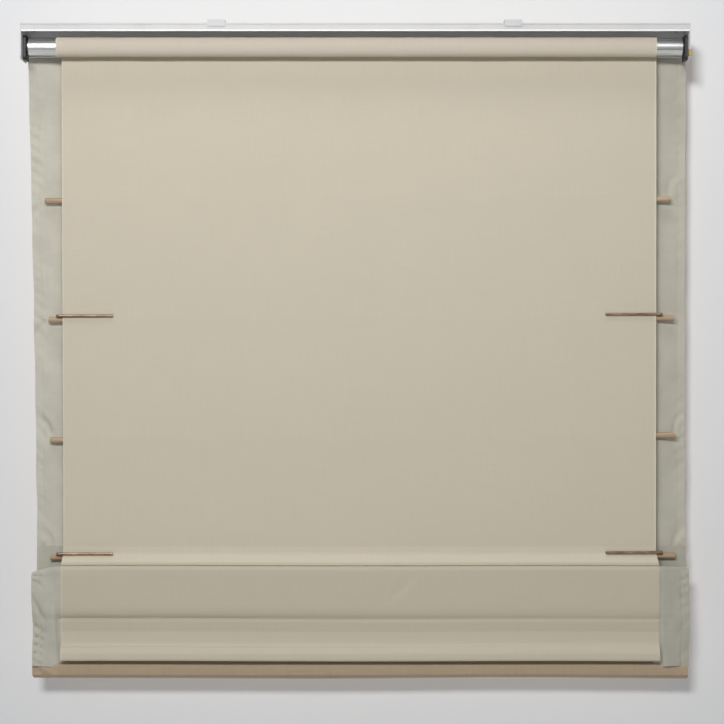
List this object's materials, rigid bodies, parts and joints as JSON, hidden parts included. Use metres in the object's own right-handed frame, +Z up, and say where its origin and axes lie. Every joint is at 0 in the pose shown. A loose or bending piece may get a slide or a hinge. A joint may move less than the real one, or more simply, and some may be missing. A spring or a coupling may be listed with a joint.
{
  "type": "roman blind",
  "caption": "Flat-fold roman blind with wooden ribs, lifted by a backing sheet that winds on a spring roller in a white headrail",
  "frame": {"origin": "midway between the two ceiling screws, on the top face of the mounting clips", "axes": "+X runs along the headrail to the motor end, +Y points into the room, away from the window, +Z is up"},
  "size_m": [0.9195, 0.0589, 0.9073],
  "materials": {
    "white_paint": "satin white paint",
    "clip_steel": "zinc plated steel",
    "black_plastic": "moulded black plastic",
    "aluminium": "drawn aluminium tube",
    "brass": "aged brass strip",
    "steel": "bare steel",
    "beige_fabric": "fine plain weave, beige",
    "backing_fabric": "smooth fine weave, light beige",
    "sage_fabric": "soft plain weave, grey green",
    "tape_fabric": "woven hook-and-loop strip",
    "wood": "turned softwood, clear",
    "bronze_wire": "bronze coloured wire"
  },
  "bodies": {
    "head": {"headrail": "white_paint", "mounting_clip_left": "clip_steel", "mounting_clip_right": "clip_steel", "bracket_screws": "steel", "bracket_catch": "brass", "hook_strip": "tape_fabric", "loop_strip": "tape_fabric", "idle_socket": "black_plastic", "motor_socket": "black_plastic", "motor_core": "steel", "spring_anchor": "black_plastic", "torsion_spring": "steel", "backing_sheet": "backing_fabric", "lining": "sage_fabric", "face_fabric": "beige_fabric", "end_bracket_left": "white_paint", "end_bracket_right": "white_paint"},
    "roller": {"roller_tube": "aluminium", "wound_turns": "backing_fabric", "idle_plug": "black_plastic", "idle_pin": "steel", "bearing_sleeve": "black_plastic", "drive_plug": "black_plastic"},
    "rib_1": {"rib_rod_1": "wood", "rib_pocket_1": "sage_fabric"},
    "rib_2": {"rib_rod_2": "wood", "rib_pocket_2": "sage_fabric", "retainer_2_left": "bronze_wire", "retainer_2_right": "bronze_wire"},
    "rib_3": {"rib_rod_3": "wood", "rib_pocket_3": "sage_fabric"},
    "bottom": {"rib_rod_4": "wood", "rib_pocket_4": "sage_fabric", "retainer_4_left": "bronze_wire", "retainer_4_right": "bronze_wire", "rib_rod_5": "wood", "rib_pocket_5": "sage_fabric", "rib_rod_6": "wood", "rib_pocket_6": "sage_fabric", "lining_pleat": "sage_fabric", "face_pleat": "beige_fabric", "backing_pleat": "backing_fabric", "bottom_bar": "steel", "bar_cap_left": "black_plastic", "bar_cap_right": "black_plastic"}
  },
  "joints": [
    {"name": "roller_spin", "type": "hinge", "parent": "head", "child": "roller", "pos_m": [-0.013, 0.004, -0.033], "axis": [1, 0, 0], "range_deg": [0, 2420]},
    {"name": "pleat_1_swing", "type": "slide", "parent": "head", "child": "rib_1", "axis": [0, 1, 0], "range_m": [0, 0.0542]},
    {"name": "pleat_2_gather", "type": "slide", "parent": "rib_1", "child": "rib_2", "axis": [0, -0.1716, 0.9852], "range_m": [0, 0.3151]},
    {"name": "pleat_3_swing", "type": "slide", "parent": "rib_2", "child": "rib_3", "axis": [0, 1, 0], "range_m": [0, 0.0342]},
    {"name": "bottom_lift", "type": "slide", "parent": "rib_3", "child": "bottom", "axis": [0, -0.109, 0.994], "range_m": [0, 0.3119], "deforming": ["lining", "face_fabric", "backing_sheet"]}
  ],
  "couplings": [
    {"joint": "roller_spin", "follows": "bottom_lift", "rad_per_m": 135.24},
    {"joint": "pleat_1_swing", "follows": "bottom_lift", "ratio": 0.17316},
    {"joint": "pleat_2_gather", "follows": "bottom_lift", "ratio": 1.009},
    {"joint": "pleat_3_swing", "follows": "bottom_lift", "ratio": 0.10902}
  ]
}
